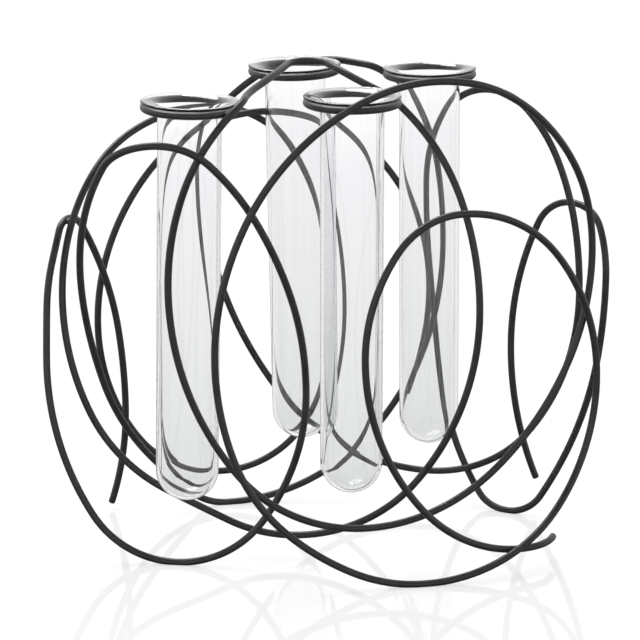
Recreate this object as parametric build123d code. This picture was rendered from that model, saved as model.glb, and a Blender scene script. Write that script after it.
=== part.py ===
from build123d import *
import os
from math import atan2, cos, degrees, pi, radians, sin, sqrt

os.makedirs("parts", exist_ok=True)

# Driving sizes in mm: X right, Y away from the viewer, Z up, the table at zero
frame_width = 230.0
frame_depth = 130.0
rim_height = 192.0
wire_dia = 2.9
weld_gap = 0.3
cross_gap = 0.8
strand_room = 0.2
side_room = 2.0
lean_room = 0.8
foot_flat = 0.5
tube_dia = 25.0
tube_wall = 1.2
tube_length = 161.5
lip_dia = 38.2
lip_thick = 1.0
flare_radius = 5.0
ring_slack = 0.25
seat_gap = 0.3

# Sizes that follow from those
wire_r = wire_dia / 2
tube_r = tube_dia / 2
bore_r = tube_r - tube_wall
pitch = wire_dia + cross_gap
flare_out = tube_r + flare_radius
ring_r = flare_out + ring_slack
ring_drop = lip_thick + seat_gap + wire_r
body_reach = tube_r + wire_r + side_room
foot = wire_r - foot_flat
wide = frame_width / 230.0
deep = frame_depth / 130.0
tall = rim_height / 192.0


# Where each tube hangs: place across and in depth, rim height over the shared one, sideways lean of the tip
class Hanger:
    def __init__(self, name, x, y, lift, drift):
        self.name = name
        self.x = x * wide
        self.y = y * deep
        self.z = rim_height + lift - ring_drop
        self.lean = degrees(atan2(-drift, tube_length))

    def place(self):
        return Location((self.x, self.y, self.z), (0, self.lean, 0))

    def beside(self, angle, rise=0.0, spare=0.0):
        """Middle of a strand that lies against this ring, at an angle seen from above."""
        reach = ring_r + wire_dia + weld_gap + spare
        a = radians(angle)
        return Vector(self.x + reach * cos(a), self.y + reach * sin(a), self.z + rise)


front_left = Hanger("front_left", -54.0, -41.0, 0.0, -3.2)
back_left = Hanger("back_left", -14.5, 40.0, 0.0, 3.0)
front_right = Hanger("front_right", 8.5, -33.0, 0.5, 0.0)
back_right = Hanger("back_right", 41.0, 34.0, -0.5, 1.4)
hangers = [front_left, back_left, front_right, back_right]


def at(x, y, z):
    """A quarter point of a loop, in the shared proportions of the stand."""
    return Vector(x * wide, y * deep, z * tall)


def on_table(x, y):
    """The lowest point of a loop that the stand rests on."""
    return Vector(x * wide, y * deep, foot)


# Depths of the strands that pass close in front of or behind a tube, and of those that cross in front of them
left_pass = (front_left.y - body_reach) / deep
second_pass = left_pass - 2 * pitch / deep - strand_room
back_pass = (back_right.y + body_reach + lean_room) / deep
corner_pass = (back_left.y + tube_r) / deep

# The front wire, turn by turn: C crest, F foot, L left side, R right side, E free end, and a slope at a way point
front_turns = [
    ("E", at(91.0, -24.5, 8.5)),
    ("F", at(81.0, -37.5, 8.5)),
    ("L", at(13.5, -60.0, 94.0)),
    ("C", at(50.0, -43.0, 147.5)),
    ("R", at(108.0, -15.5, 72.0)),
    ("F", on_table(36.5, -59.0)),
    ((140.0, None), at(-15.5, -64.0, 22.5)),
    ("L", at(-44.5, second_pass - strand_room, 95.0)),
    ((31.0, None), front_right.beside(-93.0, 1.0, 0.1)),
    ("C", at(41.0, -50.0, 201.0)),
    ((-51.0, None), at(87.0, -28.5, 177.0)),
    ("R", at(105.0, -13.0, 124.0)),
    ((-136.0, None), at(67.5, -27.0, 39.0)),
    ("F", at(15.5, -42.5, 18.5)),
    ("L", at(-62.5, left_pass, 121.0)),
    ((44.0, 0.42), front_left.beside(-39.0, 0.0, 0.3)),
    ((22.0, 1.6), at(-28.0, -30.0, 195.5)),
    ("C", at(-8.0, 6.5, 199.0)),
    ((-24.0, None), at(8.0, -8.0, 195.5)),
    ((-42.0, None), at(28.0, -18.0, 185.0)),
    ("R", at(59.0, -35.5, 105.0)),
    ("F", at(-17.0, -24.5, 9.0)),
    ((154.0, None), at(-66.0, -19.5, 26.5)),
    ("L", at(-108.0, -9.5, 107.0)),
    ("C", at(-51.0, 50.0, 172.0)),
    ("R", at(5.0, 61.5, 81.0)),
    ("F", at(-46.0, 52.5, 10.5)),
    ("L", at(-97.5, 32.0, 82.5)),
    ("C", at(-27.0, corner_pass, 169.5)),
    ("R", at(43.0, 61.5, 90.5)),
    ("E", at(31.5, 57.5, 44.5)),
]

# The back wire, in the same terms
back_turns = [
    ("E", at(89.5, 44.5, 10.0)),
    ("L", at(77.5, 45.0, 71.5)),
    ("C", at(101.0, 34.0, 134.5)),
    ("R", at(113.5, 11.5, 108.0)),
    ((-110.0, None), at(102.5, 20.0, 36.0)),
    ("F", on_table(76.0, 28.0)),
    ((113.0, None), at(57.0, 47.5, 19.5)),
    ((96.5, None), at(46.5, 56.0, 69.5)),
    ("L", at(41.0, 58.5, 138.5)),
    ("C", at(66.5, 43.0, 180.5)),
    ((-68.0, None), at(94.0, 28.5, 154.0)),
    ("R", at(104.0, 24.0, 97.0)),
    ("F", at(43.0, 45.5, 13.0)),
    ("L", at(-54.5, 61.5, 142.5)),
    ((42.0, None), at(-40.0, 61.5, 175.5)),
    ((2.0, None), back_left.beside(85.0)),
    ((-5.0, None), at(6.5, 52.0, 191.0)),
    ((-32.0, None), back_right.beside(150.0, -0.9, 0.8)),
    ((-56.0, None), at(33.5, 52.5, 177.5)),
    ("R", at(49.0, back_pass, 114.0)),
    ("F", on_table(-44.0, 38.5)),
    ((130.0, None), at(-72.0, 26.0, 22.0)),
    ("L", at(-100.0, -14.0, 112.5)),
    ("C", at(-66.0, second_pass, 179.0)),
    ((-62.0, None), at(-28.0, -56.0, 146.5)),
    ("R", at(-9.5, -39.0, 73.5)),
    ("F", on_table(-62.5, -34.5)),
    ("L", at(-114.0, -19.5, 82.5)),
    ((77.0, None), at(-111.5, -9.5, 121.0)),
    ("C", at(-106.5, 5.0, 134.5)),
    ((-71.0, None), at(-96.0, 22.0, 113.5)),
    ("R", at(-86.5, 31.5, 46.5)),
    ("E", at(-93.5, 33.5, 2.5)),
]


def steady(a, b):
    """A slope in depth that never carries a strand past its neighbours."""
    return 2 * a * b / (a + b) if a * b > 0 else 0.0


def headings(turns):
    """The way the wire runs at each quarter point; the free ends follow from a single arc."""
    pts = [p for kind, p in turns]
    out = [None] * len(pts)
    for i in range(1, len(pts) - 1):
        kind = turns[i][0]
        back = pts[i] - pts[i - 1]
        fore = pts[i + 1] - pts[i]
        if isinstance(kind, tuple):
            a = radians(kind[0])
            slope = kind[1]
            if slope is None:
                slope = steady(back.Y / sqrt(back.X**2 + back.Z**2), fore.Y / sqrt(fore.X**2 + fore.Z**2))
            out[i] = Vector(cos(a), slope, sin(a)).normalized()
        elif kind in "CF":
            slope = steady(back.Y / abs(back.X), fore.Y / abs(fore.X))
            out[i] = Vector(1 if back.X + fore.X > 0 else -1, slope, 0).normalized()
        else:
            slope = steady(back.Y / abs(back.Z), fore.Y / abs(fore.Z))
            out[i] = Vector(0, slope, 1 if back.Z + fore.Z > 0 else -1).normalized()
    chord = (pts[1] - pts[0]).normalized()
    out[0] = (chord * (2 * chord.dot(out[1])) - out[1]).normalized()
    return pts, out


def route(turns):
    """Arcs of the whole wire: each quarter turn is two arcs that meet without a kink."""
    pts, run = headings(turns)
    arcs = [(pts[0], run[0], pts[1])]
    for i in range(1, len(pts) - 2):
        p, t, q, u = pts[i], run[i], pts[i + 1], run[i + 1]
        v = q - p
        a = v.dot(t)
        b = v.dot(u)
        w = t * a + u * b
        c2 = w.dot(w) - (a + b) ** 2
        c1 = -2 * v.dot(w)
        c0 = v.dot(v)
        k = 2 * c0 / (sqrt(c1 * c1 - 4 * c2 * c0) - c1)
        m = p + t * (k * a)
        n = q - u * (k * b)
        j = m + (n - m) * (a / (a + b))
        arcs.append((p, t, j))
        arcs.append((j, (n - m).normalized(), q))
    arcs.append((pts[-2], run[-2], pts[-1]))
    return arcs


def along(arc, step):
    """Points along one arc, its length and its radius."""
    p, t, q = arc
    v = q - p
    chord = v.length
    c = v * (1 / chord)
    side = t - c * c.dot(t)
    half = atan2(side.length, c.dot(t))
    radius = chord / (2 * sin(half))
    n = max(2, int(2 * half * radius / step))
    side = side.normalized()
    out = []
    for i in range(n):
        a = half * (2 * i / n - 1)
        out.append(p + c * (radius * (sin(a) + sin(half))) + side * (radius * (cos(a) - cos(half))))
    return out, 2 * half * radius, radius


def least_gap(first, second=None):
    """Least gap between two strands at least 25 mm of wire apart, measured on points 1 mm apart."""
    cell = 6.0
    grid = {}
    for i, p in enumerate(first):
        grid.setdefault((int(p.X // cell), int(p.Y // cell), int(p.Z // cell)), []).append(i)
    best = cell
    for k, q in enumerate(second or first):
        x, y, z = int(q.X // cell), int(q.Y // cell), int(q.Z // cell)
        for dx in (-1, 0, 1):
            for dy in (-1, 0, 1):
                for dz in (-1, 0, 1):
                    for i in grid.get((x + dx, y + dy, z + dz), []):
                        if second or abs(i - k) > 25:
                            best = min(best, (first[i] - q).length)
    return best - wire_dia


def scribble(turns):
    """One unbroken wire along its route, cut flat where it stands on the table."""
    arcs = route(turns)
    edges = [TangentArc(p, q, tangent=t) for p, t, q in arcs]
    start = Plane(origin=arcs[0][0], z_dir=arcs[0][1])
    rod = sweep(start * Circle(wire_r), path=Wire(edges))
    points = []
    length = 0.0
    tightest = 1e9
    for arc in arcs:
        p, l, r = along(arc, 1.0)
        points += p
        length += l
        tightest = min(tightest, r)
    print("wire length", round(length, 1), "tightest bend", round(tightest, 1))
    print("volume over section times length", round(rod.volume / (pi * wire_r**2 * length), 4))
    print("least gap to itself", round(least_gap(points), 2))
    table = Pos(0, 0, -10) * Box(2 * frame_width, 2 * frame_depth, 20)
    return (rod - table).solid(), points


def glass_tube():
    """A test tube with a flared lip, its ring's middle at zero."""
    rim = ring_drop
    tip = rim - tube_length
    lip_r = lip_dia / 2
    edge = lip_thick / 2
    dome = tip + tube_r
    bend = bore_r + flare_radius + tube_wall
    with BuildPart() as made:
        with BuildSketch(Plane.XZ):
            with BuildLine():
                CenterArc((0, dome), tube_r, -90, 90)
                Line((tube_r, dome), (tube_r, rim - lip_thick - flare_radius))
                CenterArc((flare_out, rim - lip_thick - flare_radius), flare_radius, 180, -90)
                Line((flare_out, rim - lip_thick), (lip_r - edge, rim - lip_thick))
                CenterArc((lip_r - edge, rim - edge), edge, -90, 180)
                Line((lip_r - edge, rim), (bend, rim))
                CenterArc((bend, rim - bend + bore_r), bend - bore_r, 90, 90)
                Line((bore_r, rim - bend + bore_r), (bore_r, dome))
                CenterArc((0, dome), bore_r, 0, -90)
                Line((0, dome - bore_r), (0, tip))
            make_face()
        revolve(axis=Axis.Z)
    return made.part.solid()


front_wire, front_points = scribble(front_turns)
back_wire, back_points = scribble(back_turns)
print("least gap between the two wires", round(least_gap(front_points, back_points), 2))

parts = {"wire_front": front_wire, "wire_back": back_wire}
tube = glass_tube()
ring = Torus(ring_r, wire_r)
for h in hangers:
    parts["ring_" + h.name] = h.place() * ring
    parts["tube_" + h.name] = h.place() * tube

# The finished frame's origin is the middle of the footprint, on the table
boxes = [s.bounding_box() for s in parts.values()]
left = min(b.min.X for b in boxes)
right = max(b.max.X for b in boxes)
near = min(b.min.Y for b in boxes)
far = max(b.max.Y for b in boxes)
top = max(b.max.Z for b in boxes)
middle = Pos(-(left + right) / 2, -(near + far) / 2, 0)
print("moved by", round(-(left + right) / 2, 3), round(-(near + far) / 2, 3))
print("size", round(right - left, 1), round(far - near, 1), round(top, 1))
for name, shape in parts.items():
    export_step(middle * shape, "parts/" + name + ".step")
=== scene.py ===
from math import atan2, ceil, cos, pi, radians, sin, sqrt

import bmesh
import bpy
from bpy.props import FloatProperty, FloatVectorProperty, IntProperty, PointerProperty
from mathutils import Matrix, Vector, noise
from mathutils.kdtree import KDTree


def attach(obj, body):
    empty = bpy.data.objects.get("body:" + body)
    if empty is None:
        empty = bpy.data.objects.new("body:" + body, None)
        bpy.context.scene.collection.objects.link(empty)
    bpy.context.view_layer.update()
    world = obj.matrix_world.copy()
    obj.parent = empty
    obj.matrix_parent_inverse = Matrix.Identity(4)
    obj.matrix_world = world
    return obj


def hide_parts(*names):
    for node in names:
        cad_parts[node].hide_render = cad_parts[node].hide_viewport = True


bl_info = {
    "name": "Test tube vase",
    "version": (1, 0, 0),
    "blender": (4, 5, 0),
    "location": "View3D > Sidebar > Vase",
    "description": "Wire stand with hanging glass test tubes, and the studio it is shown in",
    "category": "Object",
}

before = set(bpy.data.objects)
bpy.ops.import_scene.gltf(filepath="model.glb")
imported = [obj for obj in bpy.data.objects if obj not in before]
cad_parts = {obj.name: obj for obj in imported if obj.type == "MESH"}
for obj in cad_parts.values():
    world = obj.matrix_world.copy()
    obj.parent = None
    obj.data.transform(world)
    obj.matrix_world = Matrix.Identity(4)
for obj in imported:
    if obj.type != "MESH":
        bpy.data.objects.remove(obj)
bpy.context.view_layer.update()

MM = 0.001
# The stand's own middle, carried to the middle of the footprint
MIDDLE = Vector((0.25, 1.625, 0.0)) * MM
# How far the cut ends of the wires are filed back
FILED = 0.35 * MM
# Half sizes of a ring's weld bead: along the ring, across to the strand, and up
RING_WELD = (2.0 * MM, 1.25 * MM, 0.95 * MM)
# Strands with less room than this between them are welded, and those welds keep apart
CLOSE = 1.0 * MM
WELD_SPACING = 12.0 * MM


class VaseWire(bpy.types.PropertyGroup):
    """Wire, rings and their black coat."""

    diameter: FloatProperty(
        name="Wire diameter",
        description="Thickness of the round wire with its coat",
        default=2.9 * MM,
        unit="LENGTH",
    )
    ring_radius: FloatProperty(
        name="Ring radius",
        description="From a ring's middle to the middle of its wire",
        default=17.75 * MM,
        unit="LENGTH",
    )
    weld_gap: FloatProperty(
        name="Weld gap",
        description="Room that a weld fills between a ring and the strand beside it",
        default=0.3 * MM,
        unit="LENGTH",
    )
    flat: FloatProperty(
        name="Foot flat",
        description="How much the wire is flattened where it stands on the table",
        default=0.5 * MM,
        unit="LENGTH",
    )
    sides: IntProperty(
        name="Sides",
        description="Faces round the wire",
        default=24,
        min=8,
    )
    coat: FloatVectorProperty(
        name="Coat",
        description="Colour of the satin coat",
        subtype="COLOR",
        default=(0.024, 0.0248, 0.0256),
    )
    coat_worn: FloatVectorProperty(
        name="Thin coat",
        description="Colour where the coat is thinner",
        subtype="COLOR",
        default=(0.050, 0.0515, 0.053),
    )


class VaseGlass(bpy.types.PropertyGroup):
    """The four test tubes."""

    diameter: FloatProperty(
        name="Tube diameter",
        description="Outside diameter of a tube",
        default=25.0 * MM,
        unit="LENGTH",
    )
    wall: FloatProperty(
        name="Wall",
        description="Thickness of the glass",
        default=1.2 * MM,
        unit="LENGTH",
    )
    rim_height: FloatProperty(
        name="Rim height",
        description="From the table to the rims",
        default=192.0 * MM,
        unit="LENGTH",
    )
    length: FloatProperty(
        name="Tube length",
        description="From the rim to the round tip",
        default=161.5 * MM,
        unit="LENGTH",
    )
    lip_diameter: FloatProperty(
        name="Lip diameter",
        description="Outside diameter of the flared lip",
        default=38.2 * MM,
        unit="LENGTH",
    )
    lip_thickness: FloatProperty(
        name="Lip thickness",
        description="Height of the lip's edge",
        default=1.0 * MM,
        unit="LENGTH",
    )
    flare: FloatProperty(
        name="Flare radius",
        description="Radius of the curve from the tube into its lip",
        default=5.0 * MM,
        unit="LENGTH",
    )
    seat_gap: FloatProperty(
        name="Seat gap",
        description="Room between the lip and the ring it rests on",
        default=0.3 * MM,
        unit="LENGTH",
    )
    segments: IntProperty(
        name="Segments",
        description="Faces round a tube",
        default=160,
        min=32,
    )
    # Also painted light: where the wall is seen edge on, this clear colour replaces the tint to lighten
    # the edges.
    clear: FloatVectorProperty(
        name="Clear",
        description="What the glass lets through at its lip and where it is seen edge on",
        subtype="COLOR",
        default=(0.99, 0.993, 0.996),
    )
    tint_high: FloatVectorProperty(
        name="Tint, high",
        description="What the wall lets through below the lip",
        subtype="COLOR",
        default=(0.944, 0.940, 0.952),
    )
    # Painted shade: this darker grey at the tip stands in for the floor's shade seen through the lower
    # glass.
    tip_painted_shade: FloatVectorProperty(
        name="Tint, low",
        description="What the wall lets through at the tip",
        subtype="COLOR",
        default=(0.853, 0.863, 0.859),
    )
    body: FloatVectorProperty(
        name="Body",
        description="Colour of the glass in its depth",
        subtype="COLOR",
        default=(0.50, 0.515, 0.53),
    )
    density: FloatProperty(
        name="Body density",
        description="How much the body of the glass takes up for each metre",
        default=10.0,
    )


class VaseStage(bpy.types.PropertyGroup):
    """Floor, light and camera."""

    floor: FloatVectorProperty(
        name="Floor",
        description="Colour of the floor",
        subtype="COLOR",
        default=(0.28, 0.28, 0.28),
    )
    floor_glow: FloatProperty(
        name="Floor white",
        description="How much of the floor's white is its own, so that shadows stay pale",
        default=0.80,
    )
    floor_polish: FloatProperty(
        name="Floor polish",
        description="Refractive index of the polish, which mirrors more the flatter it is looked at",
        default=1.4,
    )
    sky: FloatProperty(
        name="Fill light",
        description="Strength of the even light from all sides",
        default=0.45,
    )
    room: FloatProperty(
        name="Room",
        description="How bright the room over the white wall, behind the camera, looks in gloss and glass",
        default=0.2,
    )
    sun: FloatProperty(
        name="Key light",
        description="Strength of the broad light from above",
        default=1.9,
    )
    sun_spread: FloatProperty(
        name="Key light spread",
        description="How broad the light looks from the vase, which softens its shadows",
        subtype="ANGLE",
        default=radians(35),
    )
    sun_tilt: FloatVectorProperty(
        name="Key light tilt",
        description="How the light is turned from straight down",
        subtype="EULER",
        default=(radians(-28), radians(-14), 0),
    )
    lens: FloatProperty(
        name="Lens",
        description="Focal length of the camera",
        default=150.0,
        unit="CAMERA",
    )
    eye: FloatVectorProperty(
        name="Camera place",
        description="Where the camera stands",
        subtype="TRANSLATION",
        unit="LENGTH",
        default=(-3.75 * MM, -1047.475 * MM, 384.7 * MM),
    )
    dip: FloatProperty(
        name="Camera dip",
        description="How far the camera looks down",
        subtype="ANGLE",
        default=radians(15.53),
    )


# Where each tube hangs
class Hanger:
    """A ring's middle, the lean of the tube in it, and the strand that is welded to its side."""

    def __init__(self, x, y, lift, drift, side, rise, spare):
        glass = bpy.context.scene.vase_glass
        wire = bpy.context.scene.vase_wire
        self.drop = glass.lip_thickness + glass.seat_gap + wire.diameter / 2
        self.middle = Vector((x * MM, y * MM, glass.rim_height + lift * MM - self.drop))
        self.lean = atan2(-drift * MM, glass.length)
        self.side = radians(side)
        out = Vector((cos(self.side), sin(self.side), 0.0))
        reach = wire.ring_radius + wire.diameter + wire.weld_gap + spare * MM
        self.held = self.middle + out * wire.ring_radius
        self.strand = self.middle + out * reach + Vector((0.0, 0.0, rise * MM))

    def place(self):
        return Matrix.Translation(self.middle + MIDDLE) @ Matrix.Rotation(self.lean, 4, "Y")


def hangers():
    """Millimetres, and degrees seen from above for the side where a ring is held."""
    return {
        "front_left": Hanger(x=-54.0, y=-41.0, lift=0.0, drift=-3.2, side=-39.0, rise=0.0, spare=0.3),
        "back_left": Hanger(x=-14.5, y=40.0, lift=0.0, drift=3.0, side=85.0, rise=0.0, spare=0.0),
        "front_right": Hanger(x=8.5, y=-33.0, lift=0.5, drift=0.0, side=-93.0, rise=1.0, spare=0.1),
        "back_right": Hanger(x=41.0, y=34.0, lift=-0.5, drift=1.4, side=150.0, rise=-0.9, spare=0.8),
    }


def at(x, y, z):
    """A point of a wire in millimetres."""
    return Vector((x, y, z)) * MM


def on_table(x, y):
    """Middle of the wire where its flat stands on the table."""
    wire = bpy.context.scene.vase_wire
    return Vector((x * MM, y * MM, wire.diameter / 2 - wire.flat))


# Each wire turn by turn: C crest, F foot, L left side, R right side, E free end.
# A way point has its heading seen from the front, in degrees, and its slope in depth where that is set.
def front_turns(h):
    return [
        ("E", at(91.0, -24.5, 8.5)),
        ("F", at(81.0, -37.5, 8.5)),
        ("L", at(13.5, -60.0, 94.0)),
        ("C", at(50.0, -43.0, 147.5)),
        ("R", at(108.0, -15.5, 72.0)),
        ("F", on_table(36.5, -59.0)),
        ((140.0, None), at(-15.5, -64.0, 22.5)),
        ("L", at(-44.5, -64.75, 95.0)),
        ((31.0, None), h["front_right"].strand),
        ("C", at(41.0, -50.0, 201.0)),
        ((-51.0, None), at(87.0, -28.5, 177.0)),
        ("R", at(105.0, -13.0, 124.0)),
        ((-136.0, None), at(67.5, -27.0, 39.0)),
        ("F", at(15.5, -42.5, 18.5)),
        ("L", at(-62.5, -56.95, 121.0)),
        ((44.0, 0.42), h["front_left"].strand),
        ((22.0, 1.6), at(-28.0, -30.0, 195.5)),
        ("C", at(-8.0, 6.5, 199.0)),
        ((-24.0, None), at(8.0, -8.0, 195.5)),
        ((-42.0, None), at(28.0, -18.0, 185.0)),
        ("R", at(59.0, -35.5, 105.0)),
        ("F", at(-17.0, -24.5, 9.0)),
        ((154.0, None), at(-66.0, -19.5, 26.5)),
        ("L", at(-108.0, -9.5, 107.0)),
        ("C", at(-51.0, 50.0, 172.0)),
        ("R", at(5.0, 61.5, 81.0)),
        ("F", at(-46.0, 52.5, 10.5)),
        ("L", at(-97.5, 32.0, 82.5)),
        ("C", at(-27.0, 52.5, 169.5)),
        ("R", at(43.0, 61.5, 90.5)),
        ("E", at(31.5, 57.5, 44.5)),
    ]


def back_turns(h):
    return [
        ("E", at(89.5, 44.5, 10.0)),
        ("L", at(77.5, 45.0, 71.5)),
        ("C", at(101.0, 34.0, 134.5)),
        ("R", at(113.5, 11.5, 108.0)),
        ((-110.0, None), at(102.5, 20.0, 36.0)),
        ("F", on_table(76.0, 28.0)),
        ((113.0, None), at(57.0, 47.5, 19.5)),
        ((96.5, None), at(46.5, 56.0, 69.5)),
        ("L", at(41.0, 58.5, 138.5)),
        ("C", at(66.5, 43.0, 180.5)),
        ((-68.0, None), at(94.0, 28.5, 154.0)),
        ("R", at(104.0, 24.0, 97.0)),
        ("F", at(43.0, 45.5, 13.0)),
        ("L", at(-54.5, 61.5, 142.5)),
        ((42.0, None), at(-40.0, 61.5, 175.5)),
        ((2.0, None), h["back_left"].strand),
        ((-5.0, None), at(6.5, 52.0, 191.0)),
        ((-32.0, None), h["back_right"].strand),
        ((-56.0, None), at(33.5, 52.5, 177.5)),
        ("R", at(49.0, 50.75, 114.0)),
        ("F", on_table(-44.0, 38.5)),
        ((130.0, None), at(-72.0, 26.0, 22.0)),
        ("L", at(-100.0, -14.0, 112.5)),
        ("C", at(-66.0, -64.55, 179.0)),
        ((-62.0, None), at(-28.0, -56.0, 146.5)),
        ("R", at(-9.5, -39.0, 73.5)),
        ("F", on_table(-62.5, -34.5)),
        ("L", at(-114.0, -19.5, 82.5)),
        ((77.0, None), at(-111.5, -9.5, 121.0)),
        ("C", at(-106.5, 5.0, 134.5)),
        ((-71.0, None), at(-96.0, 22.0, 113.5)),
        ("R", at(-86.5, 31.5, 46.5)),
        ("E", at(-93.5, 33.5, 2.5)),
    ]


def steady(a, b):
    """A slope in depth that never carries a strand past its neighbours."""
    return 2 * a * b / (a + b) if a * b > 0 else 0.0


def headings(turns):
    """The way the wire runs at each quarter point."""
    pts = [p for kind, p in turns]
    out = [None] * len(pts)
    for i in range(1, len(pts) - 1):
        kind = turns[i][0]
        back = pts[i] - pts[i - 1]
        fore = pts[i + 1] - pts[i]
        if isinstance(kind, tuple):
            a = radians(kind[0])
            slope = kind[1]
            if slope is None:
                slope = steady(back.y / sqrt(back.x**2 + back.z**2), fore.y / sqrt(fore.x**2 + fore.z**2))
            out[i] = Vector((cos(a), slope, sin(a))).normalized()
        elif kind in "CF":
            slope = steady(back.y / abs(back.x), fore.y / abs(fore.x))
            out[i] = Vector((1 if back.x + fore.x > 0 else -1, slope, 0)).normalized()
        else:
            slope = steady(back.y / abs(back.z), fore.y / abs(fore.z))
            out[i] = Vector((0, slope, 1 if back.z + fore.z > 0 else -1)).normalized()
    chord = (pts[1] - pts[0]).normalized()
    out[0] = (chord * (2 * chord.dot(out[1])) - out[1]).normalized()
    return pts, out


def route(turns):
    """Arcs of the whole wire: each quarter turn is two arcs that meet without a kink."""
    pts, run = headings(turns)
    arcs = [(pts[0], run[0], pts[1])]
    for i in range(1, len(pts) - 2):
        p, t, q, u = pts[i], run[i], pts[i + 1], run[i + 1]
        v = q - p
        a = v.dot(t)
        b = v.dot(u)
        w = t * a + u * b
        c2 = w.dot(w) - (a + b) ** 2
        c1 = -2 * v.dot(w)
        c0 = v.dot(v)
        k = 2 * c0 / (sqrt(c1 * c1 - 4 * c2 * c0) - c1)
        m = p + t * (k * a)
        n = q - u * (k * b)
        j = m + (n - m) * (a / (a + b))
        arcs.append((p, t, j))
        arcs.append((j, (n - m).normalized(), q))
    arcs.append((pts[-2], run[-2], pts[-1]))
    return arcs


def walk(turns, turn_step, longest):
    """Points along the whole wire and the way it runs at each, closer together in tighter bends."""
    points, ways = [], []
    for p, t, q in route(turns):
        v = q - p
        c = v.normalized()
        side = t - c * c.dot(t)
        half = atan2(side.length, c.dot(t))
        radius = v.length / (2 * sin(half))
        side.normalize()
        n = max(2, ceil(2 * half / turn_step), ceil(2 * half * radius / longest))
        for i in range(n):
            a = half * (2 * i / n - 1)
            points.append(p + c * (radius * (sin(a) + sin(half))) + side * (radius * (cos(a) - cos(half))))
            ways.append(c * cos(a) - side * sin(a))
    points.append(q.copy())
    ways.append(c * cos(half) - side * sin(half))
    return points, ways


# Mesh makers
def new_piece(name, bm, material, body):
    """An object from a finished mesh, on its body and in its finish."""
    for f in bm.faces:
        f.smooth = True
    bmesh.ops.recalc_face_normals(bm, faces=bm.faces)
    mesh = bpy.data.meshes.new(name)
    bm.to_mesh(mesh)
    bm.free()
    mesh.materials.append(material)
    piece = bpy.data.objects.new(name, mesh)
    bpy.context.scene.collection.objects.link(piece)
    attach(piece, body)
    return piece


def skin(bm, loops, closed=False):
    """Quads between neighbouring loops of points."""
    rows = [[bm.verts.new(p) for p in loop] for loop in loops]
    pairs = list(zip(rows, rows[1:]))
    if closed:
        pairs.append((rows[-1], rows[0]))
    for a, b in pairs:
        for i in range(len(a)):
            j = (i + 1) % len(a)
            bm.faces.new((a[i], a[j], b[j], b[i]))
    return rows


def round_loop(middle, across, up, radius, sides):
    """Points round a wire."""
    turns = [2 * pi * i / sides for i in range(sides)]
    return [middle + across * (radius * cos(a)) + up * (radius * sin(a)) for a in turns]


def wire_mesh(turns, radius, sides):
    """A round wire along its route, with filed ends, flat where it stands on the table."""
    points, ways = walk(turns, turn_step=radians(2.5), longest=3.0 * MM)
    across = ways[0].orthogonal().normalized()
    loops = []
    last = len(points) - 1
    for i, (p, way) in enumerate(zip(points, ways)):
        across = (across - way * across.dot(way)).normalized()
        up = way.cross(across)
        p = p + MIDDLE
        if i == 0:
            loops.append(round_loop(p, across, up, radius - FILED, sides))
            p = p + way * FILED
        if i == last:
            p = p - way * FILED
        loops.append(round_loop(p, across, up, radius, sides))
    p = points[last] + MIDDLE
    loops.append(round_loop(p, across, up, radius - FILED, sides))
    bm = bmesh.new()
    rows = skin(bm, loops)
    bm.faces.new(rows[0])
    bm.faces.new(rows[-1])
    for v in bm.verts:
        v.co.z = max(v.co.z, 0.0)
    return bm


def ring_mesh(hanger, radius, wire_radius, sides):
    """A wire bent into a ring, with the slight swelling of its closed seam."""
    segments = 144
    seam_reach = 1.6 * MM
    seam_swell = 0.05
    place = hanger.place()
    loops = []
    for i in range(segments):
        a = 2 * pi * i / segments
        out = Vector((cos(a), sin(a), 0))
        off = abs((a - hanger.side + pi) % (2 * pi) - pi) * radius
        swell = 1 + seam_swell * max(0.0, 1 - off / seam_reach)
        loop = round_loop(out * radius, out, Vector((0, 0, 1)), wire_radius * swell, sides)
        loops.append([place @ p for p in loop])
    bm = bmesh.new()
    skin(bm, loops, closed=True)
    return bm


def bead(bm, middle, along, across, sizes, seed):
    """One weld bead: a small uneven blob laid along the joint of two wires."""
    along = along.normalized()
    across = (across - along * across.dot(along)).normalized()
    up = along.cross(across)
    turn = Matrix((along, across, up)).transposed()
    blob = bmesh.ops.create_icosphere(bm, subdivisions=3, radius=1.0)
    for v in blob["verts"]:
        rough = 1 + 0.16 * noise.noise(v.co * 1.7 + Vector((seed, 3.1 * seed, 0)))
        p = Vector((v.co.x * sizes[0], v.co.y * sizes[1], v.co.z * sizes[2])) * rough
        v.co = middle + turn @ p


def crossings(strands, reach):
    """Where strands pass so close that a weld joins them: a point on each, and the way between."""
    points = [p for pts, ways in strands for p in pts]
    ways = [w for pts, ways in strands for w in ways]
    first = len(strands[0][0])
    own_run = 40
    tree = KDTree(len(points))
    for i, p in enumerate(points):
        tree.insert(p, i)
    tree.balance()
    near = []
    for i, p in enumerate(points):
        for q, j, gap in tree.find_range(p, reach):
            apart = (i < first) != (j < first) or abs(i - j) > own_run
            if j > i and apart:
                near.append((gap, i, j))
    near.sort()
    kept = []
    for gap, i, j in near:
        if all((points[i] - points[a]).length > WELD_SPACING for a, b in kept):
            kept.append((i, j))
    out = []
    for i, j in kept:
        way = ways[i] + ways[j] * (1 if ways[i].dot(ways[j]) > 0 else -1)
        out.append((points[i], points[j], way))
    return out


def arc_points(middle_r, middle_z, radius, start, sweep, n):
    """Points of an arc in the glass's outline, angles in degrees."""
    angles = [radians(start + sweep * i / n) for i in range(n + 1)]
    return [(middle_r + radius * cos(a), middle_z + radius * sin(a)) for a in angles]


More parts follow.
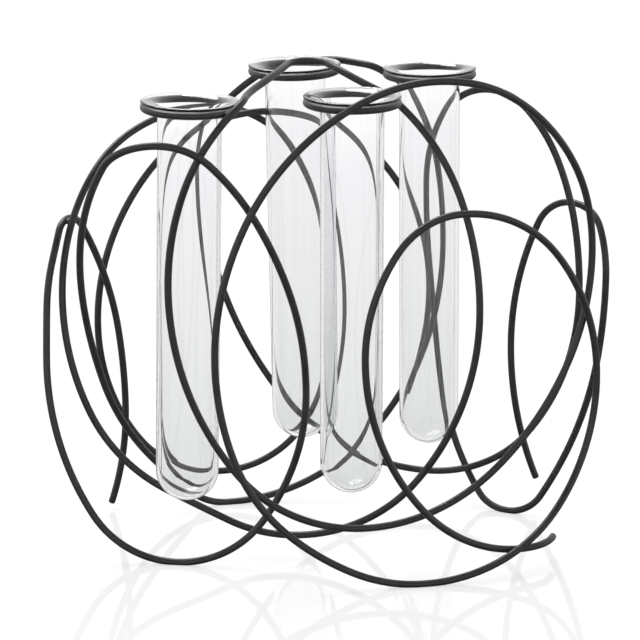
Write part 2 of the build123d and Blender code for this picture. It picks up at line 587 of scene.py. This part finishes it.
def tube_profile(glass, rim):
    """Outline of the glass: tip, outside, lip, bore. Heights are from the ring's middle."""
    tip_steps = 28
    wall_steps = 40
    lip_steps = 14
    mouth_steps = 16
    tube_r = glass.diameter / 2
    bore_r = tube_r - glass.wall
    dome = rim - glass.length + tube_r
    edge = glass.lip_thickness / 2
    under = rim - glass.lip_thickness
    lip = glass.lip_diameter / 2 - edge
    mouth = glass.flare + glass.wall
    out = arc_points(0, dome, tube_r, -90, 90, tip_steps)
    climb = under - glass.flare - dome
    out += [(tube_r, dome + climb * i / wall_steps) for i in range(1, wall_steps)]
    out += arc_points(tube_r + glass.flare, under - glass.flare, glass.flare, 180, -90, lip_steps)
    out += arc_points(lip, rim - edge, edge, -90, 180, lip_steps)
    out += arc_points(bore_r + mouth, rim - mouth, mouth, 90, 90, mouth_steps)
    fall = rim - mouth - dome
    out += [(bore_r, rim - mouth - fall * i / wall_steps) for i in range(1, wall_steps)]
    out += arc_points(0, dome, bore_r, 0, -90, tip_steps)
    return out


def tube_mesh(hanger, glass):
    """A blown tube with a round tip and a flared lip."""
    place = hanger.place()
    profile = tube_profile(glass, hanger.drop)
    n = glass.segments
    bm = bmesh.new()
    turns = [2 * pi * i / n for i in range(n)]
    loops = [[place @ Vector((r * cos(a), r * sin(a), z)) for a in turns] for r, z in profile[1:-1]]
    rows = skin(bm, loops)
    for row, (r, z) in ((rows[0], profile[0]), (rows[-1], profile[-1])):
        tip = bm.verts.new(place @ Vector((0, 0, z)))
        for i in range(n):
            bm.faces.new((row[i], row[(i + 1) % n], tip))
    return bm


# Finishes
class Nodes:
    """Short forms for building a material's nodes."""

    def __init__(self, tree):
        self.tree = tree
        tree.nodes.clear()

    def add(self, kind, **sockets):
        node = self.tree.nodes.new(kind)
        for name, value in sockets.items():
            self.feed(node.inputs[name.replace("_", " ")], value)
        return node

    def feed(self, socket, value):
        if isinstance(value, bpy.types.NodeSocket):
            self.tree.links.new(value, socket)
        else:
            socket.default_value = value


def finish_of(name):
    """A new material and its empty node tree."""
    material = bpy.data.materials.new(name)
    material.use_nodes = True
    return material, Nodes(material.node_tree)


def black_coat():
    """Satin black coat on steel wire: a fine orange peel, uneven sheen, thinner here and there."""
    if "satin_black_coat" in bpy.data.materials:
        return bpy.data.materials["satin_black_coat"]
    wire = bpy.context.scene.vase_wire
    material, n = finish_of("satin_black_coat")
    where = n.add("ShaderNodeTexCoord").outputs["Object"]
    patches = n.add("ShaderNodeTexNoise", Vector=where, Scale=90.0, Detail=4.0, Roughness=0.6)
    peel = n.add("ShaderNodeTexNoise", Vector=where, Scale=1400.0, Detail=2.0, Roughness=0.5)
    thin = n.add("ShaderNodeMapRange", Value=patches.outputs["Fac"], From_Min=0.35, From_Max=0.75)
    tone = n.add("ShaderNodeMix")
    tone.data_type = "RGBA"
    n.feed(tone.inputs["Factor"], thin.outputs["Result"])
    n.feed(tone.inputs[6], (*wire.coat, 1))
    n.feed(tone.inputs[7], (*wire.coat_worn, 1))
    sheen = n.add("ShaderNodeMapRange", Value=patches.outputs["Fac"], To_Min=0.28, To_Max=0.44)
    bump = n.add("ShaderNodeBump", Strength=0.25, Distance=0.00005, Height=peel.outputs["Fac"])
    shader = n.add("ShaderNodeBsdfPrincipled")
    n.feed(shader.inputs["Base Color"], tone.outputs[2])
    n.feed(shader.inputs["Roughness"], sheen.outputs["Result"])
    n.feed(shader.inputs["Normal"], bump.outputs["Normal"])
    n.add("ShaderNodeOutputMaterial", Surface=shader.outputs["BSDF"])
    return material


def clear_glass():
    """Drawn tube glass: faint grey, with painted shade growing towards the tip and painted light clearing
    the edges, a breath of haze, shadows let through.
    """
    if "clear_tube_glass" in bpy.data.materials:
        return bpy.data.materials["clear_tube_glass"]
    glass = bpy.context.scene.vase_glass
    material, n = finish_of("clear_tube_glass")
    where = n.add("ShaderNodeTexCoord").outputs["Object"]
    drawn = n.add("ShaderNodeMapping", Vector=where, Scale=(220.0, 220.0, 2.0))
    cords = n.add("ShaderNodeTexNoise", Vector=drawn.outputs["Vector"], Scale=1.0, Detail=2.0)
    haze = n.add("ShaderNodeTexNoise", Vector=where, Scale=60.0, Detail=5.0, Roughness=0.65)
    polish = n.add("ShaderNodeMapRange", Value=haze.outputs["Fac"], From_Min=0.45, From_Max=0.8)
    n.feed(polish.inputs["To Max"], 0.025)
    bump = n.add("ShaderNodeBump", Strength=0.004, Distance=0.0002, Height=cords.outputs["Fac"])
    # Painted shade: the tint darkens with height from the lip down to the tip.
    height = n.add("ShaderNodeSeparateXYZ", Vector=where)
    up = n.add("ShaderNodeMapRange", Value=height.outputs["Z"], From_Min=0.03, From_Max=0.19)
    tint_and_tip_shade_ramp = n.add("ShaderNodeValToRGB", Fac=up.outputs["Result"])
    tint_and_tip_shade_ramp.color_ramp.elements[0].color = (*glass.tip_painted_shade, 1)
    tint_and_tip_shade_ramp.color_ramp.elements[1].color = (*glass.clear, 1)
    tint_and_tip_shade_ramp.color_ramp.elements[1].position = 0.95
    tint_and_tip_shade_ramp.color_ramp.elements.new(0.84).color = (*glass.tint_high, 1)
    # Painted light: where the wall is seen edge on the tint gives way to the clear colour, lightening the
    # edges.
    edge_light_facing = n.add("ShaderNodeLayerWeight", Blend=0.5)
    edge = n.add("ShaderNodeMapRange", Value=edge_light_facing.outputs["Facing"], From_Min=0.45, From_Max=0.8)
    tone = n.add("ShaderNodeMix")
    tone.data_type = "RGBA"
    n.feed(tone.inputs["Factor"], edge.outputs["Result"])
    n.feed(tone.inputs[6], tint_and_tip_shade_ramp.outputs["Color"])
    n.feed(tone.inputs[7], (*glass.clear, 1))
    shader = n.add("ShaderNodeBsdfPrincipled", IOR=1.47)
    n.feed(shader.inputs["Base Color"], tone.outputs[2])
    n.feed(shader.inputs["Roughness"], polish.outputs["Result"])
    n.feed(shader.inputs["Normal"], bump.outputs["Normal"])
    n.feed(shader.inputs["Transmission Weight"], 1.0)
    clear = n.add("ShaderNodeBsdfTransparent", Color=(0.97, 0.975, 0.98, 1))
    light = n.add("ShaderNodeLightPath")
    mix = n.add("ShaderNodeMixShader", Fac=light.outputs["Is Shadow Ray"])
    n.feed(mix.inputs[1], shader.outputs["BSDF"])
    n.feed(mix.inputs[2], clear.outputs["BSDF"])
    body = n.add("ShaderNodeVolumeAbsorption", Density=glass.density)
    n.feed(body.inputs["Color"], (*glass.body, 1))
    n.add("ShaderNodeOutputMaterial", Surface=mix.outputs["Shader"], Volume=body.outputs["Volume"])
    return material


def either_ray(n, first, second):
    """One for rays of two kinds, zero for all others."""
    light = n.add("ShaderNodeLightPath")
    either = n.add("ShaderNodeMath")
    either.operation = "MAXIMUM"
    n.feed(either.inputs[0], light.outputs[first])
    n.feed(either.inputs[1], light.outputs[second])
    return either.outputs["Value"]


def white_floor():
    """Polished white table top, with a white of its own to the eye, so that shadows stay pale."""
    stage = bpy.context.scene.vase_stage
    material, n = finish_of("polished_white_floor")
    lit = n.add("ShaderNodeBsdfDiffuse", Color=(*stage.floor, 1))
    glow = n.add("ShaderNodeEmission", Strength=stage.floor_glow)
    none = n.add("ShaderNodeEmission", Strength=0.0)
    own = n.add("ShaderNodeMixShader", Fac=either_ray(n, "Is Camera Ray", "Is Transmission Ray"))
    n.feed(own.inputs[1], none.outputs["Emission"])
    n.feed(own.inputs[2], glow.outputs["Emission"])
    pale = n.add("ShaderNodeAddShader")
    n.feed(pale.inputs[0], lit.outputs["BSDF"])
    n.feed(pale.inputs[1], own.outputs["Shader"])
    mirror = n.add("ShaderNodeBsdfGlossy", Color=(1, 1, 1, 1), Roughness=0.015)
    polish = n.add("ShaderNodeFresnel", IOR=stage.floor_polish)
    polished = n.add("ShaderNodeMixShader", Fac=polish.outputs["Fac"])
    n.feed(polished.inputs[1], pale.outputs["Shader"])
    n.feed(polished.inputs[2], mirror.outputs["BSDF"])
    n.add("ShaderNodeOutputMaterial", Surface=polished.outputs["Shader"])
    return material


# Studio
def lay_floor(scene):
    """The table top, a hair under the wire's flats."""
    half = 15.0
    under = -0.02 * MM
    corners = ((-half, -half), (half, -half), (half, half), (-half, half))
    bm = bmesh.new()
    bm.faces.new([bm.verts.new((x, y, under)) for x, y in corners])
    mesh = bpy.data.meshes.new("floor")
    bm.to_mesh(mesh)
    bm.free()
    mesh.materials.append(white_floor())
    floor = bpy.data.objects.new("floor", mesh)
    scene.collection.objects.link(floor)


def white_studio(stage):
    """White to the eye and an even fill. Gloss and glass see a white wall and a dimmer room over it."""
    world = bpy.data.worlds.new("white_studio")
    world.use_nodes = True
    n = Nodes(world.node_tree)
    way = n.add("ShaderNodeSeparateXYZ", Vector=n.add("ShaderNodeTexCoord").outputs["Generated"])
    far = n.add("ShaderNodeMapRange", Value=way.outputs["Y"], From_Min=-0.1, From_Max=0.8)
    low = n.add("ShaderNodeMapRange", Value=way.outputs["Z"], From_Min=0.7, From_Max=0.3)
    for dim in (far, low):
        n.feed(dim.inputs["To Min"], stage.room)
    wall = n.add("ShaderNodeMath")
    wall.operation = "MAXIMUM"
    n.feed(wall.inputs[0], far.outputs["Result"])
    n.feed(wall.inputs[1], low.outputs["Result"])
    fill = n.add("ShaderNodeBackground", Color=(1, 1, 1, 1), Strength=stage.sky)
    room = n.add("ShaderNodeBackground", Color=(1, 1, 1, 1), Strength=wall.outputs["Value"])
    white = n.add("ShaderNodeBackground", Color=(1, 1, 1, 1), Strength=1.0)
    shine = n.add("ShaderNodeMixShader", Fac=either_ray(n, "Is Glossy Ray", "Is Transmission Ray"))
    n.feed(shine.inputs[1], fill.outputs["Background"])
    n.feed(shine.inputs[2], room.outputs["Background"])
    sight = n.add("ShaderNodeMixShader", Fac=n.add("ShaderNodeLightPath").outputs["Is Camera Ray"])
    n.feed(sight.inputs[1], shine.outputs["Shader"])
    n.feed(sight.inputs[2], white.outputs["Background"])
    n.add("ShaderNodeOutputWorld", Surface=sight.outputs["Shader"])
    return world


def hang_key_light(scene):
    """One broad light from above, a little behind the vase and to one side."""
    stage = scene.vase_stage
    lamp = bpy.data.lights.new("key", "SUN")
    lamp.energy = stage.sun
    lamp.angle = stage.sun_spread
    key = bpy.data.objects.new("key", lamp)
    key.rotation_euler = stage.sun_tilt
    scene.collection.objects.link(key)


def aim_camera(scene):
    """The photograph's camera, looking down at the vase from the front."""
    stage = scene.vase_stage
    lens = bpy.data.cameras.new("camera")
    lens.lens = stage.lens
    lens.sensor_width = 36.0
    camera = bpy.data.objects.new("camera", lens)
    camera.location = stage.eye
    camera.rotation_euler = (pi / 2 - stage.dip, 0, 0)
    scene.collection.objects.link(camera)
    scene.camera = camera


# Operators, one for each kind of piece
class VASE_OT_wires(bpy.types.Operator):
    """Bend the two scribbled wires of the stand"""

    bl_idname = "vase.wires"
    bl_label = "Scribbled wires"

    def execute(self, context):
        wire = context.scene.vase_wire
        h = hangers()
        for name, node, turns in (
            ("scribble_front", "wire_front", front_turns(h)),
            ("scribble_back", "wire_back", back_turns(h)),
        ):
            bm = wire_mesh(turns, wire.diameter / 2, wire.sides)
            piece = new_piece(name, bm, black_coat(), "stand")
            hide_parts(node)
        return {"FINISHED"}


class VASE_OT_rings(bpy.types.Operator):
    """Bend a ring for each tube to hang in"""

    bl_idname = "vase.rings"
    bl_label = "Rings"

    def execute(self, context):
        wire = context.scene.vase_wire
        for name, hanger in hangers().items():
            bm = ring_mesh(hanger, wire.ring_radius, wire.diameter / 2, wire.sides)
            piece = new_piece("hoop_" + name, bm, black_coat(), "stand")
            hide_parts("ring_" + name)
        return {"FINISHED"}


class VASE_OT_welds(bpy.types.Operator):
    """Lay the weld beads that hold rings and wires together"""

    bl_idname = "vase.welds"
    bl_label = "Weld beads"

    def execute(self, context):
        wire = context.scene.vase_wire
        h = hangers()
        strands = [
            walk(turns, turn_step=radians(6.0), longest=1.0 * MM)
            for turns in (front_turns(h), back_turns(h))
        ]
        bm = bmesh.new()
        for seed, hanger in enumerate(h.values()):
            middle = (hanger.held + hanger.strand) / 2 + MIDDLE
            along = Vector((-sin(hanger.side), cos(hanger.side), 0.0))
            bead(bm, middle, along, hanger.strand - hanger.held, RING_WELD, 1.3 + seed)
        # A bead between strands ends this far short of their middles
        core = 0.55 * MM
        for seed, (p, q, way) in enumerate(crossings(strands, wire.diameter + CLOSE)):
            sizes = (1.5 * MM, (q - p).length / 2 - core, 1.0 * MM)
            bead(bm, (p + q) / 2 + MIDDLE, way, q - p, sizes, 7.7 + seed)
        new_piece("weld_beads", bm, black_coat(), "stand")
        return {"FINISHED"}


class VASE_OT_tubes(bpy.types.Operator):
    """Blow the four glass test tubes"""

    bl_idname = "vase.tubes"
    bl_label = "Test tubes"

    def execute(self, context):
        for name, hanger in hangers().items():
            bm = tube_mesh(hanger, context.scene.vase_glass)
            piece = new_piece("test_tube_" + name, bm, clear_glass(), "glass_" + name)
            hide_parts("tube_" + name)
        return {"FINISHED"}


class VASE_OT_stage(bpy.types.Operator):
    """Lay the floor, set the light and aim the camera"""

    bl_idname = "vase.stage"
    bl_label = "Studio"

    def execute(self, context):
        scene = context.scene
        scene.view_settings.view_transform = "Standard"
        lay_floor(scene)
        scene.world = white_studio(scene.vase_stage)
        hang_key_light(scene)
        aim_camera(scene)
        return {"FINISHED"}


class VASE_PT_panel(bpy.types.Panel):
    """The vase's pieces and their sizes"""

    bl_idname = "VASE_PT_panel"
    bl_label = "Test tube vase"
    bl_space_type = "VIEW_3D"
    bl_region_type = "UI"
    bl_category = "Vase"

    def draw(self, context):
        layout = self.layout
        for operator in operators:
            layout.operator(operator.bl_idname)
        for name in groups:
            settings = getattr(context.scene, name)
            box = layout.box()
            for prop in settings.__annotations__:
                box.prop(settings, prop)


groups = {"vase_wire": VaseWire, "vase_glass": VaseGlass, "vase_stage": VaseStage}
operators = (VASE_OT_wires, VASE_OT_rings, VASE_OT_welds, VASE_OT_tubes, VASE_OT_stage)


def register():
    for name, group in groups.items():
        bpy.utils.register_class(group)
        setattr(bpy.types.Scene, name, PointerProperty(type=group))
    for cls in (*operators, VASE_PT_panel):
        bpy.utils.register_class(cls)


def unregister():
    for cls in (VASE_PT_panel, *reversed(operators)):
        bpy.utils.unregister_class(cls)
    for name, group in reversed(groups.items()):
        delattr(bpy.types.Scene, name)
        bpy.utils.unregister_class(group)


def main():
    register()
    bpy.ops.vase.wires()
    bpy.ops.vase.rings()
    bpy.ops.vase.welds()
    bpy.ops.vase.tubes()
    bpy.ops.vase.stage()


if __name__ == "__main__":
    main()
